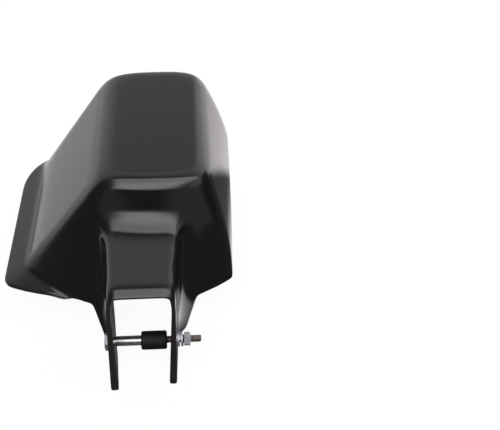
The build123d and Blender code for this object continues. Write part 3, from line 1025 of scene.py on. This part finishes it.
def floor_paper():
    material, tree, shader = new_material("floor_paper")
    made, link = tree.nodes.new, tree.links.new
    shader.inputs["Base Color"].default_value = PAPER
    shader.inputs["Roughness"].default_value = PAPER_ROUGH
    place, split = made("ShaderNodeTexCoord"), made("ShaderNodeSeparateXYZ")
    path = made("ShaderNodeLightPath")
    link(place.outputs["Object"], split.inputs[0])
    # To gloss rays the floor glows with the painted light and shade of mirrored_level.
    white, painted_glow = made("ShaderNodeEmission"), made("ShaderNodeEmission")
    white.inputs["Strength"].default_value = 1.0
    painted_glow.inputs["Color"].default_value = STUDIO_TINT
    link(mirrored_level(tree, split.outputs["X"], split.outputs["Y"]), painted_glow.inputs["Strength"])
    seen, mirrored = made("ShaderNodeMixShader"), made("ShaderNodeMixShader")
    link(product(tree, path.outputs["Is Camera Ray"], FLOOR_SHOWN), seen.inputs[0])
    link(shader.outputs[0], seen.inputs[1])
    link(white.outputs[0], seen.inputs[2])
    link(path.outputs["Is Glossy Ray"], mirrored.inputs[0])
    link(seen.outputs[0], mirrored.inputs[1])
    link(painted_glow.outputs[0], mirrored.inputs[2])
    link(mirrored.outputs[0], tree.nodes["Material Output"].inputs["Surface"])
    return material


floor_z = cad_box[0][2] - FLOOR_GAP
around = ((-1, -1), (1, -1), (1, 1), (-1, 1))
corners = [(sx * FLOOR_HALF, sy * FLOOR_HALF + FLOOR_AHEAD, floor_z) for sx, sy in around]
floor_mesh = bpy.data.meshes.new("floor")
floor_mesh.from_pydata(corners, [], [(0, 1, 2, 3)])
floor_mesh.materials.append(floor_paper())
floor = bpy.data.objects.new("floor", floor_mesh)
bpy.context.collection.objects.link(floor)
print("Floor at", round(floor_z / MM, 2), "mm")

# %% [markdown]
# The world is the studio round the guard. Its walls have two curves of brightness from left to
# right: a dim one on the camera's side and a pale one behind the guard. A long softbox hangs
# overhead, and the ceiling behind it is even. The camera itself sees plain white there, so the
# studio shows only as light on the pieces and in their gloss.

# %% World
FRONT_LEVELS = (
    (-1.0, 0.16), (-0.78, 0.11), (-0.60, 0.16), (-0.44, 0.32), (-0.33, 0.30), (-0.22, 0.11), (-0.10, 0.07),
    (0.02, 0.12), (0.12, 0.34), (0.30, 0.38), (0.60, 0.38), (0.80, 0.26), (0.92, 0.06), (1.0, 0.05),
)
BACK_LEVELS = (
    (-1.0, 1.0), (-0.85, 1.15), (-0.60, 0.95), (-0.42, 0.90), (-0.28, 0.78), (-0.15, 0.62), (0.10, 0.60),
    (0.20, 0.68), (0.30, 1.15), (0.50, 1.40), (0.66, 1.35), (0.74, 0.50), (0.82, 0.07), (1.0, 0.06),
)
TURN_TO_BACK, BACK_LEAN = (-0.22, 0.38), -0.45
SKY_FROM, SKY_LEVEL = (0.62, 0.80), 1.0
RIGHT_TOP, RIGHT_TOP_FROM = (0.30, 0.60), (0.48, 0.66)
BOX_FRONT, BOX_BACK = (math.radians(-64.0), math.radians(-56.0)), (math.radians(19.0), math.radians(10.0))
BOX_LEFT, BOX_RIGHT, BOX_SKEW = (-0.44, -0.22), (0.70, 0.36), -0.45
BOX_TURN, BOX_LOW, BOX_HIGH = (math.radians(-38.0), math.radians(-5.0)), 4.0, 2.8


def level_curve(tree, given, stops):
    """A level that changes along one axis of the directions, through listed stops."""
    node = tree.nodes.new("ShaderNodeFloatCurve")
    node.mapping.use_clip = False
    curve = node.mapping.curves[0]
    for at, level in stops[1:-1]:
        curve.points.new((at + 1.0) / 2.0, level)
    curve.points[0].location = (0.0, stops[0][1])
    curve.points[-1].location = (1.0, stops[-1][1])
    node.mapping.update()
    tree.links.new(math_node(tree, "MULTIPLY_ADD", given, 0.5, 0.5), node.inputs["Value"])
    return node.outputs[0]


def studio_walls(tree, x, y, z):
    front, back = level_curve(tree, x, FRONT_LEVELS), level_curve(tree, x, BACK_LEVELS)
    back = between(tree, back, SKY_LEVEL, soft_step(tree, z, *SKY_FROM))
    leaning = math_node(tree, "MULTIPLY_ADD", z, BACK_LEAN, y)
    walls = between(tree, front, back, soft_step(tree, leaning, *TURN_TO_BACK))
    right_top = product(tree, soft_step(tree, x, *RIGHT_TOP), soft_step(tree, z, *RIGHT_TOP_FROM))
    return between(tree, walls, SKY_LEVEL, right_top)


def overhead_softbox(tree, x, y, z):
    tilt = math_node(tree, "ARCTAN2", y, z)
    return product(
        tree,
        soft_step(tree, tilt, *BOX_FRONT),
        soft_step(tree, tilt, *BOX_BACK),
        soft_step(tree, x, *BOX_LEFT),
        soft_step(tree, math_node(tree, "MULTIPLY_ADD", tilt, BOX_SKEW, x), *BOX_RIGHT),
        soft_step(tree, tilt, *BOX_TURN, BOX_LOW, BOX_HIGH),
    )


def studio_world():
    world = bpy.data.worlds.new("studio")
    world.use_nodes = True
    tree = world.node_tree
    made, link = tree.nodes.new, tree.links.new
    tree.nodes.clear()
    place, split = made("ShaderNodeTexCoord"), made("ShaderNodeSeparateXYZ")
    link(place.outputs["Generated"], split.inputs[0])
    x, y, z = (split.outputs[axis] for axis in "XYZ")
    level = math_node(tree, "ADD", studio_walls(tree, x, y, z), overhead_softbox(tree, x, y, z))
    studio, white = made("ShaderNodeBackground"), made("ShaderNodeBackground")
    studio.inputs["Color"].default_value = STUDIO_TINT
    white.inputs["Color"].default_value = WHITE
    link(level, studio.inputs["Strength"])
    path, seen, out = made("ShaderNodeLightPath"), made("ShaderNodeMixShader"), made("ShaderNodeOutputWorld")
    link(path.outputs["Is Camera Ray"], seen.inputs[0])
    link(studio.outputs[0], seen.inputs[1])
    link(white.outputs[0], seen.inputs[2])
    link(seen.outputs[0], out.inputs["Surface"])
    return world


bpy.context.scene.world = studio_world()
bpy.context.scene.view_settings.view_transform = "Standard"
print("World:", len(bpy.context.scene.world.node_tree.nodes), "nodes")
